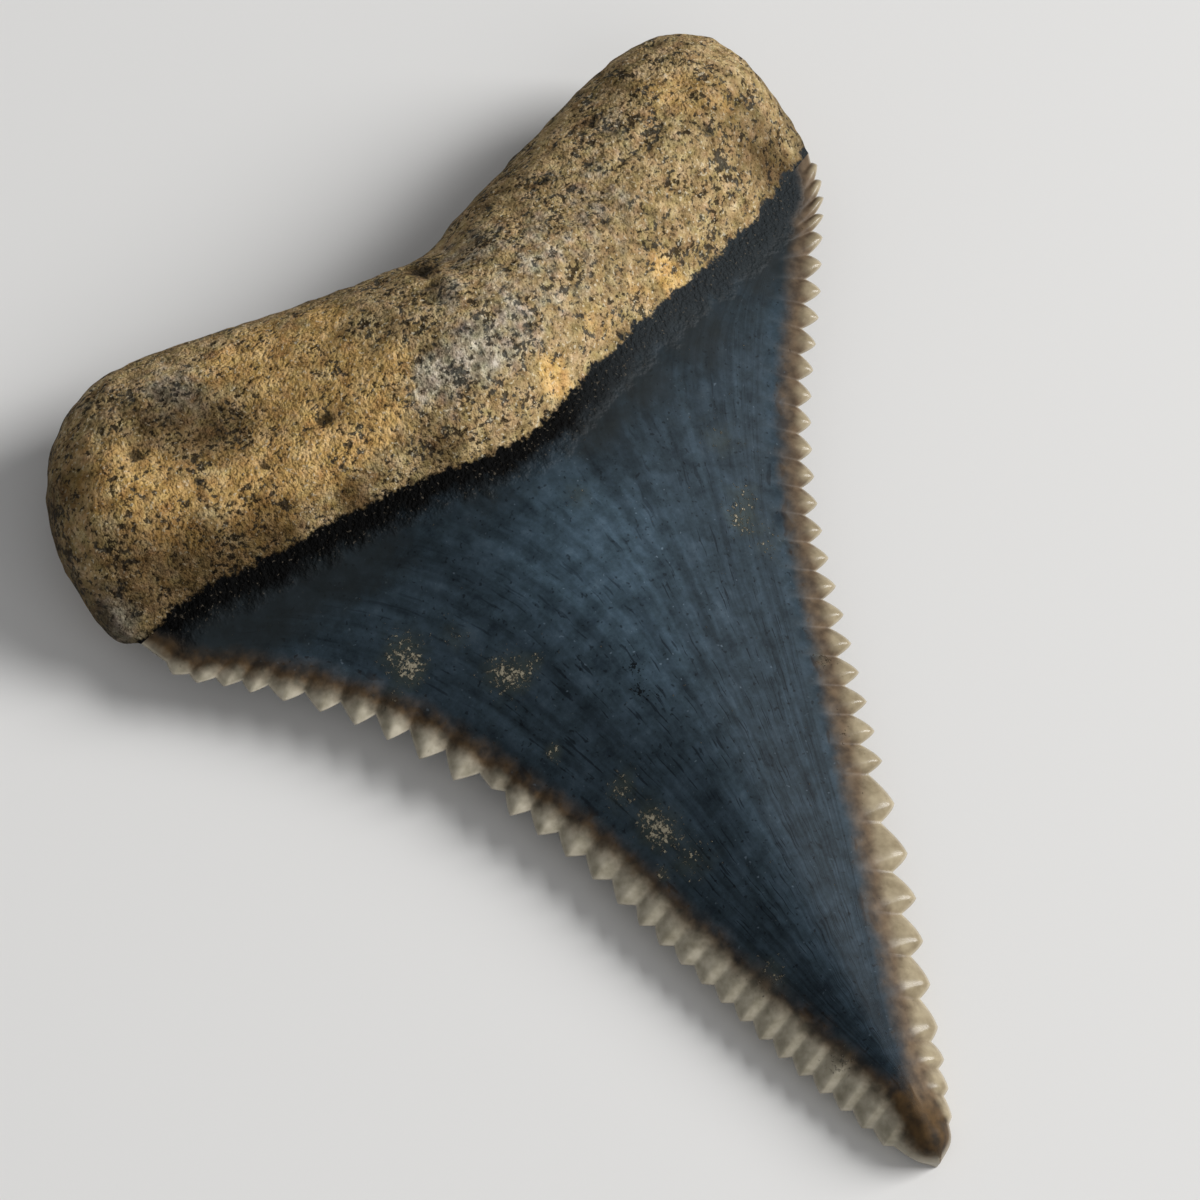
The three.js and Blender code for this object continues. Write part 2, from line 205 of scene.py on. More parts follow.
class PlanCurve:
    """A smooth curve through points of the plan, measured by its length."""

    def __init__(self, points, steps=48):
        p = np.array(points, float)
        n = len(p)
        place = np.linspace(0, n - 1, (n - 1) * steps + 1)
        i = np.minimum(place.astype(int), n - 2)
        t = (place - i)[:, None]
        before, start, end, after = p[np.maximum(i - 1, 0)], p[i], p[i + 1], p[np.minimum(i + 2, n - 1)]
        leave, arrive = (end - before) / 2, (after - start) / 2
        self.line = (
            (2 * start - 2 * end + leave + arrive) * t**3
            + (-3 * start + 3 * end - 2 * leave - arrive) * t**2
            + leave * t
            + start
        )
        self.passed = np.r_[0, np.cumsum(np.linalg.norm(np.diff(self.line, axis=0), axis=1))]
        self.length = self.passed[-1]

    def at(self, share):
        s = np.asarray(share) * self.length
        return np.stack([np.interp(s, self.passed, self.line[:, k]) for k in (0, 1)], -1)

    def tangent(self, share):
        run = self.at(np.minimum(share + 1e-4, 1)) - self.at(np.maximum(share - 1e-4, 0))
        return run / np.linalg.norm(run, axis=-1, keepdims=True)

    def distance(self, plan):
        """How far each point of the plan is from the curve."""
        corners = self.at(np.linspace(0, 1, OUTLINE_STEPS + 1))
        nearest = np.full(plan.shape[:-1], np.inf)
        for a, b in zip(corners, corners[1:]):
            run = b - a
            share = np.clip(((plan - a) @ run) / (run @ run), 0, 1)
            off = plan - a - share[..., None] * run
            nearest = np.minimum(nearest, np.hypot(off[..., 0], off[..., 1]))
        return nearest


tip = np.array(TIP)
rim = PlanCurve(ROOT_RIM)
neck = PlanCurve(NECK)
left_curve = PlanCurve(LEFT_EDGE["points"])
right_curve = PlanCurve(RIGHT_EDGE["points"])


def edge_rows(edge, curve):
    """Where the rows of points start on a cutting edge, with the serration there."""
    numbers, places = np.array(edge["valleys"], float).T
    count, first, last = int(numbers[-1]), places[0], places[-1]
    lead, tail = edge["lead"] * FINER, edge["tail"] * FINER
    i = np.repeat(np.arange(count), ROWS_PER_SERRATION)
    turn = np.tile(np.arange(ROWS_PER_SERRATION) / ROWS_PER_SERRATION, count)
    peak = mix(*edge["peak"], i / count)
    share = np.where(turn < 0.5, 2 * turn * peak, peak + (2 * turn - 1) * (1 - peak))
    distance = np.r_[
        first * np.arange(lead) / lead,
        np.interp(i + share, numbers, places),
        mix(last, curve.length, np.arange(tail) / tail),
    ]
    passed = np.interp(distance, places, numbers)
    number = np.floor(passed + 1e-9)
    share = passed - number
    peak = mix(*edge["peak"], number / count)
    turn = np.where(share < peak, 0.5 * share / peak, 0.5 + 0.5 * (share - peak) / (1 - peak))
    ridge = mix(1 - np.abs(2 * turn - 1), np.sin(np.pi * turn), edge["rounded"])
    ridge = np.where((distance > first) & (distance < last), ridge, 0)
    uneven = 1 + UNEVENNESS * np.sin(UNEVEN_STEP * number + edge["side"])
    whole = np.where(number == edge["chipped"], CHIP_LEFT, 1)
    depth = np.interp(passed, *np.array(edge["depths"], float).T) * uneven * whole * ridge
    along = distance / curve.length
    run = curve.tangent(along)
    inward = np.stack([run[:, 1], -run[:, 0]], -1) * edge["side"]
    return {"distance": distance, "share": along, "at": curve.at(along), "inward": inward,
            "ridge": ridge, "rise": edge["ridge_rise"] * smooth(ridge), "depth": depth}


left_rows = edge_rows(LEFT_EDGE, left_curve)
right_rows = edge_rows(RIGHT_EDGE, right_curve)
strip_end = STRIP_WIDTH / neck.length
middle_shares = crowded(np.arange(1, MIDDLE_COLUMNS) / MIDDLE_COLUMNS, MIDDLE_CROWDING)
ACROSS = np.r_[
    STRIP_COLUMNS * strip_end,
    mix(strip_end, 1 - strip_end, middle_shares),
    1 - STRIP_COLUMNS[::-1] * strip_end,
]


def blade_at(plan):
    """The blade's faces: a dome between the cutting edges over a flat face that turns up to them."""
    to_tip = np.linalg.norm(plan - tip, axis=-1)
    up = levelled(to_tip / BLADE_LENGTH)
    left = left_curve.distance(plan)
    right = right_curve.distance(plan)
    across = left / (left + right + 1e-9)
    edge = mix(EDGE_HEIGHT_TIP, EDGE_HEIGHT_NECK, up**EDGE_TAPER)
    rise = mix(DOME_RISE_TIP, DOME_RISE_NECK, up**DOME_TAPER) * round_off(to_tip / TIP_ROUND)
    arch = UNDER_ARCH * np.maximum(0, 1 - (plan[..., 0] / ARCH_HALF_WIDTH) ** 2)
    arch = arch * smooth((to_tip - TIP_SPOT) / TIP_SPOT)
    middle = 0.5 - CREST_SHIFT * up
    aside = np.abs(across - middle) / np.where(across < middle, middle, 1 - middle)
    turn_up = aside**TURN_UP_POWER
    top = edge + rise * (1 - crest(aside))
    return {"edge": edge, "top": top, "arch": arch, "under": mix(arch, edge, turn_up),
            "left": left, "right": right}


def strip_points(rows, along_neck, width):
    """The rows' stretch beside one cutting edge, with what the serrations push out and raise."""
    square = smooth(rows["distance"] / STRIP_TURN)[:, None]
    inward = mix(along_neck, rows["inward"], square)
    inward = (inward / np.linalg.norm(inward, axis=-1, keepdims=True))[:, None]
    t = STRIP_COLUMNS[None, :, None]
    push = rows["depth"][:, None, None] * (1 - smooth(t))
    return {
        "plan": rows["at"][:, None] + inward * t * width[:, None, None],
        "push": -inward * push,
        "out": push[..., 0],
        "ridge": rows["rise"][:, None] * hump(t[..., 0]),
        "serration": rows["ridge"][:, None] * (1 - smooth(t[..., 0])),
        "from_outline": width[:, None] * t[..., 0] + rows["depth"][:, None] - push[..., 0],
    }


def crown_sheet():
    """The blade's points: a strip beside each cutting edge, and a lopsided V between them."""
    apart = np.linalg.norm(left_rows["at"] - right_rows["at"], axis=-1)
    width = np.minimum(STRIP_WIDTH, STRIP_SHARE * apart)
    left = strip_points(left_rows, neck.tangent(0.0), width)
    right = strip_points(right_rows, -neck.tangent(1.0), width)
    start, end = left["plan"][:, -1], right["plan"][:, -1]
    fade = (1 - (left_rows["share"] + right_rows["share"]) / 2) ** V_FADE
    t = middle_shares[None, :, None]
    hang = neck.at(mix(strip_end, 1 - strip_end, middle_shares))
    hang = hang - mix(neck.at(strip_end), neck.at(1 - strip_end), middle_shares[:, None])
    plan = mix(start[:, None], end[:, None], t) + hang[None] * fade[:, None, None]
    none = np.zeros(plan.shape[:2])
    middle = {"plan": plan, "push": np.zeros_like(plan), "out": none, "ridge": none, "serration": none,
              "from_outline": none + FAR}
    joined = {name: np.concatenate([left[name], middle[name], right[name][:, ::-1]], 1) for name in middle}
    blade = blade_at(joined["plan"])
    along = neck.distance(joined["plan"])
    crown = {
        "plan": joined["plan"] + joined["push"],
        "top": blade["top"] + joined["ridge"],
        "under": blade["under"],
        "from_neck": -along,
        "from_edge": np.minimum(blade["left"], blade["right"]) - joined["out"],
        "across": np.broadcast_to(ACROSS * neck.length, along.shape),
        "along": along,
        "serration": joined["serration"],
        "from_outline": joined["from_outline"],
        "from_rim": np.full(along.shape, FAR),
    }
    crown["from_neck"][0] = 0
    return crown


def root_sheet():
    """The root's points, between the neck and the rim."""
    up = 1 - crowded(np.arange(ROOT_ROWS) / ROOT_ROWS, ROOT_CROWDING)[:, None]
    across = ACROSS[None, :]
    on_rim = rim.at(mix(LEFT_SIDE_SHARE, 1 - RIGHT_SIDE_SHARE, across))
    on_neck = neck.at(across)
    sides = mix(rim.at(up * LEFT_SIDE_SHARE), rim.at(1 - up * RIGHT_SIDE_SHARE), across[..., None])
    low = mix(rim.at(0.0), rim.at(1.0), across[..., None])
    high = mix(rim.at(LEFT_SIDE_SHARE), rim.at(1 - RIGHT_SIDE_SHARE), across[..., None])
    plan = mix(on_neck, on_rim, up[..., None]) + sides - mix(low, high, up[..., None])
    from_neck = np.linalg.norm(plan - on_neck, axis=-1)
    inside = rim.distance(plan)
    blade = blade_at(plan)
    blend = smooth(from_neck / NECK_BLEND)
    waist = mix(blade["edge"], ROOT_WAIST, blend)
    lobes = LOBE_TOP + hill(plan, *BOSS) + hill(plan, *SADDLE) + hill(plan, *GROOVE)
    step = smooth(from_neck / NECK_STEP_WIDTH)
    top = mix(blade["top"] + NECK_STEP * step, lobes, blend)
    rounding = mix(1, round_off(inside / ROOT_ROUND_TOP), step)
    flat = mix(waist, blade["arch"], round_off(inside / ROOT_ROUND_UNDER))
    border = np.zeros(plan.shape[:2], bool)
    border[0] = border[:, 0] = border[:, -1] = True
    return {
        "plan": plan,
        "top": np.where(border, waist, mix(waist, top, rounding)),
        "under": np.where(border, waist, mix(blade["under"], flat, blend)),
        "from_neck": neck.distance(plan),
        "from_edge": np.full(plan.shape[:2], FAR),
        "across": np.broadcast_to(ACROSS * neck.length, plan.shape[:2]),
        "along": -from_neck,
        "serration": np.zeros(plan.shape[:2]),
        "from_outline": np.full(plan.shape[:2], FAR),
        "from_rim": inside,
    }


# Besides its place, each point carries its distances in millimetres from the neck, the cutting
# edges, the root's rim and the blade's outline, for the material.
crown = crown_sheet()
root = root_sheet()
plan = np.concatenate([root["plan"], crown["plan"]])
plan_middle = (plan.max((0, 1)) + plan.min((0, 1))) / 2

# The larger pits of the root, and the crack that runs in from the notch, in millimetres from the
# middle of the tooth: x, y, radius, depth
ROOT_PITS = [
    (-6.8, 12.3, 0.3, 0.35), (-9.7, 12.0, 0.25, 0.3), (-13.9, 14.9, 0.35, 0.35), (-0.2, 16.6, 0.4, 0.5),
    (-0.3, 15.9, 0.3, 0.5), (-0.5, 15.1, 0.25, 0.4), (-0.6, 14.2, 0.22, 0.35), (-10.8, 16.6, 0.3, 0.2),
    (4.3, 17.0, 0.3, 0.2), (9.6, 17.3, 0.3, 0.25), (13.6, 19.3, 0.3, 0.2), (-4.6, 15.6, 0.3, 0.25),
]
LUMP_SIZE, LUMP_RISE = 1.8, 0.10  # soft lumps of the root's surface
GRIT_SIZE, GRIT_RISE = 0.42, 0.07  # its gritty grain
PORE_SIZE, PORE_DEPTH = 0.75, 0.45  # its pores, which lie where the noise is above this value
PORE_START = 0.3
RIM_SIZE, RIM_SHIFT, RIM_WIDTH = 0.8, 0.13, 1.6  # the unevenness of its outline
NECK_FADE, RIM_FADE = 0.8, 1.0  # all of that fades out over this distance


def worn(sheet):
    """The root's worn surface: pores, lumps and pits, and an uneven outline."""
    spots, height = sheet["plan"] - plan_middle, sheet["top"]
    amount, shift = np.zeros(height.shape), np.zeros(spots.shape)
    # Each pattern is taken from another place of the noise, so that they don't repeat one another
    for index in np.ndindex(height.shape):
        at = Vector((*spots[index], height[index]))
        lumps = noise.fractal(at / LUMP_SIZE, 1.0, 2.0, 3)
        grit = noise.fractal(at / GRIT_SIZE + Vector((7, 3, 1)), 0.8, 2.0, 2)
        pores = max(0.0, noise.noise(at / PORE_SIZE + Vector((31, 17, 5))) - PORE_START)
        amount[index] = LUMP_RISE * lumps + GRIT_RISE * grit - PORE_DEPTH * pores
        shift[index] = [noise.noise(at / RIM_SIZE + Vector((11, 5, k))) for k in (3, 19)]
    for x, y, radius, depth in ROOT_PITS:
        amount -= depth * np.exp(-((spots[..., 0] - x) ** 2 + (spots[..., 1] - y) ** 2) / radius**2)
    off_neck = smooth(sheet["from_neck"] / NECK_FADE)
    shift *= (RIM_SHIFT * (1 - smooth(sheet["from_rim"] / RIM_WIDTH)) * off_neck)[..., None]
    return sheet["plan"] + shift, height + amount * smooth(sheet["from_rim"] / RIM_FADE) * off_neck


root["plan"], root["top"] = worn(root)
rows = {name: np.concatenate([root[name], crown[name]]) for name in crown}
row_count, column_count = rows["top"].shape


def tooth_mesh():
    """Joins the two sheets along their border, and closes them at the tip."""
    strip_skip = [0, *range(1, len(STRIP_COLUMNS), 2)]
    skip = [*strip_skip, *range(len(STRIP_COLUMNS), column_count - len(STRIP_COLUMNS), UNDER_SKIP)]
    skip += [column_count - 1 - k for k in reversed(strip_skip)]
    inner = skip[1:-1]
    upper = np.arange(row_count * column_count).reshape(row_count, column_count)
    lower = np.full_like(upper, -1)
    lower[0] = upper[0]
    lower[:, 0], lower[:, -1] = upper[:, 0], upper[:, -1]
    lower[1:, inner] = upper.size + np.arange((row_count - 1) * len(inner)).reshape(row_count - 1, -1)
    end = upper.size + (row_count - 1) * len(inner)

    def points(heights, plan):
        return np.concatenate([plan.reshape(-1, 2), np.maximum(heights, 0).reshape(-1, 1)], 1)

    corners = np.concatenate([
        points(rows["top"], rows["plan"]),
        points(rows["under"][1:, inner], rows["plan"][1:, inner]),
        [[*TIP, EDGE_HEIGHT_TIP]],
    ])
    corners -= (*plan_middle, corners[:, 2].min())
    a, b, c, d = upper[:-1, :-1], upper[1:, :-1], upper[1:, 1:], upper[:-1, 1:]
    faces = np.stack([a, b, c, d], -1).reshape(-1, 4).tolist()
    for left, right in zip(skip, skip[1:]):
        faces.append([*upper[0, left:right + 1].tolist(), int(lower[1, right]), int(lower[1, left])])
        a, b, c, d = lower[1:-1, left], lower[1:-1, right], lower[2:, right], lower[2:, left]
        faces += np.stack([a, b, c, d], -1).tolist()
        faces.append([int(lower[-1, left]), int(lower[-1, right]), end])
    for k in range(column_count - 1):
        faces.append([int(upper[-1, k]), end, int(upper[-1, k + 1])])
    mesh = bpy.data.meshes.new("tooth_surface")
    mesh.from_pydata((corners / 1000).tolist(), [], faces)
    mesh.shade_smooth()
    for name in ("from_neck", "from_edge", "from_rim", "from_outline", "serration", "across", "along"):
        values = rows[name]
        full = np.concatenate([values.ravel(), values[1:, inner].ravel(), [0.0]])
        mesh.attributes.new(name, "FLOAT", "POINT").data.foreach_set("value", full.astype(np.float32))
    return mesh


def marked(mesh, name, patches):
    """Stores how strongly each point of the surface carries one kind of mark."""
    spots = np.empty(len(mesh.vertices) * 3)
    mesh.vertices.foreach_get("co", spots)
    x, y = spots.reshape(-1, 3).T[:2] * 1000
    amount = sum(strength * np.exp(-((x - cx) ** 2 + (y - cy) ** 2) / radius**2)
                 for cx, cy, radius, strength in patches)
    mesh.attributes.new(name, "FLOAT", "POINT").data.foreach_set("value", amount.astype(np.float32))


# Stains and crumbs, and patches of painted light and shade, in millimetres from the middle of the tooth: x,
# y, radius, strength
MARKS = {
    # golden stains; the broad patches across the left lobe are painted light on its shaded side
    "golden_stain_and_painted_light": [
        (-7.3, 16.6, 1.7, 0.9), (-7.0, 14.1, 1.5, 0.9), (-5.4, 11.3, 1.5, 1.0), (-3.5, 12.6, 0.9, 0.7),
        (2.2, 9.8, 0.8, 1.0), (9.0, 12.6, 0.7, 1.0), (7.4, 12.2, 0.6, 0.6), (-13.9, 12.6, 2.4, 0.7),
        (-10.6, 10.9, 1.4, 0.7), (-7.6, 10.6, 1.1, 0.8), (12.6, 19.4, 2.0, 0.45), (14.6, 18.0, 1.6, 0.35),
        (-4.4, 16.8, 1.2, 0.6), (5.0, 11.4, 0.8, 0.5), (-15.2, 15.0, 2.0, 0.5), (-9.0, 12.2, 2.2, 0.6),
        (-5.4, 14.2, 2.0, 0.6), (-9.4, 17.0, 1.6, 0.4),
    ],
    "ashy": [
        (-11.3, 16.8, 1.7, 0.8), (-2.7, 11.2, 1.1, 0.9), (-0.7, 11.3, 1.2, 1.0), (1.4, 11.8, 1.4, 0.6),
        (4.0, 13.8, 2.2, 0.5), (7.6, 15.8, 2.6, 0.4), (-17.3, 10.4, 1.1, 0.8), (-0.4, 14.2, 1.3, 0.5),
        (1.8, 16.4, 1.6, 0.4), (10.4, 19.2, 1.4, 0.4), (-14.6, 18.4, 1.2, 0.4),
    ],
    # painted shade on the left lobe, in the crack and on the right lobe, with darker staining just above the
    # neck
    "stain_and_painted_shade": [
        (-12.4, 16.2, 2.2, 0.6), (-10.6, 14.4, 2.0, 0.7), (-16.0, 11.0, 2.2, 0.8), (-16.9, 15.5, 1.6, 0.6),
        (-13.2, 10.0, 1.6, 0.8), (-10.6, 9.8, 1.3, 1.0), (-7.2, 9.2, 1.0, 0.8), (-3.4, 9.0, 0.9, 0.8),
        (-0.2, 16.6, 0.9, 1.0), (-0.5, 14.8, 0.6, 0.7), (16.2, 15.6, 1.2, 0.8), (11.4, 20.6, 1.0, 0.6),
        (-4.0, 18.6, 1.4, 0.5), (4.0, 18.6, 1.4, 0.4), (7.4, 15.3, 2.6, 0.35), (15.0, 17.2, 2.2, 0.4),
    ],
    # dark spots, and painted shade in the pits and the crack
    "dark_spot_and_pit_shade": [
        (-10.5, 13.9, 0.9, 0.35), (-10.4, 15.1, 0.8, 0.35), (-0.2, 16.6, 0.5, 1.2), (-0.5, 15.0, 0.3, 1.0),
        (-13.9, 14.9, 0.35, 1.0), (-6.8, 12.3, 0.3, 1.4), (-9.7, 12.0, 0.3, 1.0), (9.4, 19.6, 0.4, 0.8),
        (-8.6, 13.0, 0.25, 1.0), (-12.2, 12.6, 0.3, 0.9), (13.4, 17.0, 0.35, 0.8), (6.2, 17.8, 0.35, 0.8),
    ],
    "crumbs": [
        (-8.4, 3.6, 0.9, 1.0), (-8.3, 2.8, 0.6, 0.9), (-6.3, 2.9, 0.6, 0.7), (-5.5, 0.8, 0.8, 1.0),
        (-5.0, 0.1, 0.6, 0.9), (-4.2, 0.3, 0.5, 0.6), (-5.2, -2.9, 0.35, 1.2), (-3.7, -5.6, 0.7, 0.9),
        (-3.4, -7.2, 0.7, 1.0), (-3.2, -8.0, 0.7, 0.9), (-2.8, -9.4, 0.9, 0.7), (-4.0, -9.1, 0.25, 1.2),
        (-2.5, -14.6, 0.8, 0.8), (-1.9, -18.7, 0.6, 0.9), (6.9, 2.9, 0.7, 0.8), (6.1, 2.0, 0.6, 0.9),
        (6.8, 0.8, 0.9, 0.6), (6.2, -4.5, 0.4, 1.2), (5.2, -7.4, 0.4, 0.7), (-9.6, 2.4, 0.5, 0.7),
        (7.4, 5.4, 1.0, 0.5), (0.6, 5.2, 0.8, 0.4),
    ],
    # painted light: paler patches where the blade's middle and right catch the light
    "painted_light_patches": [
        (1.0, 2.6, 2.8, 0.8), (-2.6, 2.6, 3.0, 0.5), (-0.6, 4.6, 2.4, 0.5), (0.2, -2.0, 2.4, 0.5),
        (6.2, 3.6, 1.6, 0.3), (12.6, 10.0, 2.0, 0.3),
    ],
    "smoked": [
        (2.4, 7.8, 1.6, 0.9), (5.3, 9.0, 1.8, 1.0), (9.0, 10.2, 1.9, 1.0), (13.2, 12.1, 2.0, 1.0),
        (-2.9, 7.2, 1.6, 0.6), (-6.9, 7.2, 1.6, 0.7), (-11.6, 8.0, 1.8, 1.1), (-9.0, 7.4, 1.5, 0.8),
        (-14.0, 8.2, 1.8, 1.4), (15.2, 13.4, 1.4, 0.9),
    ],
    # painted shade inside a few small pits
    "enamel_pit_shade": [
        (-1.1, -1.9, 0.45, 1.0), (-1.3, -2.8, 0.4, 1.0), (-1.0, -3.4, 0.35, 0.8), (-4.9, 0.6, 0.6, 0.5),
    ],
    "browned": [(-0.5, -23.4, 1.5, 1.2), (-0.3, -22.0, 1.0, 0.6)],
}


def linear(colour):
    """An sRGB hex value as Blender's linear colour."""
    values = [int(colour[k:k + 2], 16) / 255 for k in (1, 3, 5)]
    return (*[v / 12.92 if v <= 0.04045 else ((v + 0.055) / 1.055) ** 2.4 for v in values], 1.0)


def add(tree, kind, inputs=(), output=0, stops=(), **settings):
    """Adds a node with its settings and links, and gives its output.

    An input is a value, a colour, or another node's output. A ramp's stops are its lowest, its
    highest, and then those between.
    """
    node = tree.nodes.new("ShaderNode" + kind)
    for name, value in settings.items():
        setattr(node, name, value)
    for key, value in inputs.items() if isinstance(inputs, dict) else enumerate(inputs):
        if isinstance(value, bpy.types.NodeSocket):
            tree.links.new(value, node.inputs[key])
        else:
            node.inputs[key].default_value = linear(value) if isinstance(value, str) else value
    for k, (place, colour) in enumerate(stops):
        element = node.color_ramp.elements[k] if k < 2 else node.color_ramp.elements.new(place)
        element.position, element.color = place, linear(colour)
    return node.outputs[output] if node.outputs else node


SOFT = {"interpolation_type": "SMOOTHSTEP"}
COLOUR = {"output": 2, "data_type": "RGBA"}  # a Mix node's colours go into its inputs 6 and 7

# Sizes of the material's patterns, in millimetres
BLOTCH = 0.8  # soft blotches that make all borders wander
SAND = 0.7  # light and dark spots of the dentine
TINT = 0.5
GRAIN = 0.25  # its grains of sand, and finer ones
FINE_GRAIN = 0.16
CLUSTER = 1.3  # the dark grains lie in clusters of this size
MOTTLE = 1.0  # spots of the enamel
GROWTH_BAND = 1.0  # width at the neck of the soft bands that run down the enamel
GROWTH_LINE = 0.32  # and of the fine lines, which are drawn coarser than they are, so that they show
GROWTH_STRETCH = 0.15  # the lower, the longer both are
SPECK = 0.2
CRUMB = 0.19
STREAK = 0.5  # streaks of the cutting margins
# painted glints: lighter specks on the grit of the bare neck
GLINT = 0.15  # grit of the bare neck
BUMP_DEPTH = 0.0001  # in metres


def dentine_look(tree, place, blotches):
    """Fossil dentine: dull, sandy and porous, with golden iron stains, ashy places and dark grains, and
    painted light and shade: lighter patches on the left lobe, and shade in the small hollows, the pits, the
    crack and along the rim.
    """
    sand = add(tree, "TexNoise", {"Vector": place, "Scale": 1 / SAND, "Detail": 6.0, "Roughness": 0.72})
    tan = add(tree, "ValToRGB", [sand], stops=[
        (0.32, "#55452c"), (0.72, "#cfb88f"), (0.44, "#8d7751"), (0.56, "#ab936a"),
    ])
    gold = add(tree, "ValToRGB", [sand], stops=[(0.32, "#967340"), (0.70, "#ecca90"), (0.50, "#cca566")])
    ash = add(tree, "ValToRGB", [sand], stops=[(0.34, "#4e4a42"), (0.68, "#d6cebd"), (0.50, "#958c7a")])
    colour = tan
    # The golden patches across the left lobe are painted light on its shaded side
    for name, stain in (("ashy", ash), ("golden_stain_and_painted_light", gold)):
        stained = add(tree, "Attribute", attribute_name=name, output="Fac")
        stained = add(tree, "Math", (blotches, 1.5, stained), operation="MULTIPLY_ADD")
        amount = add(tree, "MapRange", (stained, 0.95, 1.55, 0.0, 0.85), **SOFT)
        colour = add(tree, "Mix", {0: amount, 6: colour, 7: stain}, **COLOUR)
    # Reddish and grey tints in soft spots, then dark grains in clusters, a few cream ones, and painted shade
    # in the small hollows of the grain's relief
    tint = add(tree, "TexNoise", {"Vector": place, "Scale": 1 / TINT, "Detail": 1.0}, output=1)
    colour = add(tree, "Mix", {0: 0.16, 6: colour, 7: tint}, blend_type="SOFT_LIGHT", **COLOUR)
    cluster = add(tree, "TexNoise", {"Vector": place, "Scale": 1 / CLUSTER, "Detail": 2.0})
    grain = add(tree, "TexNoise", {"Vector": place, "Scale": 1 / GRAIN, "Detail": 2.0, "Roughness": 0.6})
    deep = add(tree, "Math", (cluster, 0.55, grain), operation="MULTIPLY_ADD")
    deep = add(tree, "Math", (amount, 0.05, deep), operation="MULTIPLY_ADD")
    deep = add(tree, "MapRange", (deep, 0.735, 0.63, 0.0, 0.88), **SOFT)
    dark = add(tree, "ValToRGB", [blotches], stops=[(0.42, "#1b140d"), (0.60, "#3f3f3b")])
    colour = add(tree, "Mix", {0: deep, 6: colour, 7: dark}, **COLOUR)
    cream = add(tree, "TexNoise", {"Vector": place, "Scale": 1 / FINE_GRAIN, "Detail": 1.0})
    lit = add(tree, "MapRange", (cream, 0.62, 0.74, 0.0, 0.55), **SOFT)
    colour = add(tree, "Mix", {0: lit, 6: colour, 7: "#d8ccb1"}, **COLOUR)
    # Painted shade in the small hollows of the grain's relief
    painted_hollow_shade = add(tree, "MapRange", (cream, 0.40, 0.30, 0.0, 0.7), **SOFT)
    colour = add(tree, "Mix", {0: painted_hollow_shade, 6: colour, 7: "#3a2f20"}, **COLOUR)
    # Darker places, partly stains and partly painted shade; dark spots, with painted shade in the pits and
    # the crack; and a line of painted shade all along the rim, where the root rounds off
    # Painted shade over the left lobe, in the crack and on the right lobe, with darker staining above the
    # neck
    stain_and_painted_shade = add(tree, "Attribute", attribute_name="stain_and_painted_shade", output="Fac")
    stain_and_painted_shade = add(tree, "Math", (blotches, 0.8, stain_and_painted_shade), operation="MULTIPLY_ADD")
    stain_and_painted_shade = add(tree, "MapRange", (stain_and_painted_shade, 0.35, 1.3, 0.0, 0.85), **SOFT)
    colour = add(tree, "Mix", {0: stain_and_painted_shade, 6: colour, 7: "#7c7263"}, blend_type="MULTIPLY", **COLOUR)
    # Dark spots, and painted shade in the pits and the crack
    spots_and_pit_shade = add(tree, "Attribute", attribute_name="dark_spot_and_pit_shade", output="Fac")
    spots_and_pit_shade = add(tree, "Math", (cream, 1.2, spots_and_pit_shade), operation="MULTIPLY_ADD")
    spots_and_pit_shade = add(tree, "MapRange", (spots_and_pit_shade, 0.85, 1.35, 0.0, 0.85), **SOFT)
    colour = add(tree, "Mix", {0: spots_and_pit_shade, 6: colour, 7: "#211d17"}, **COLOUR)
    # Painted shade: a dark line all along the rim, where the root rounds off
    painted_rim_shade = add(tree, "Attribute", attribute_name="from_rim", output="Fac")
    painted_rim_shade = add(tree, "Math", (blotches, 1.2, painted_rim_shade), operation="MULTIPLY_ADD")
    painted_rim_shade = add(tree, "MapRange", (painted_rim_shade, 1.5, 0.5, 0.0, 0.7), **SOFT)
    colour = add(tree, "Mix", {0: painted_rim_shade, 6: colour, 7: "#2f2a22"}, **COLOUR)
    relief = add(tree, "Math", (grain, 1.6, cream), operation="MULTIPLY_ADD")
    return colour, relief


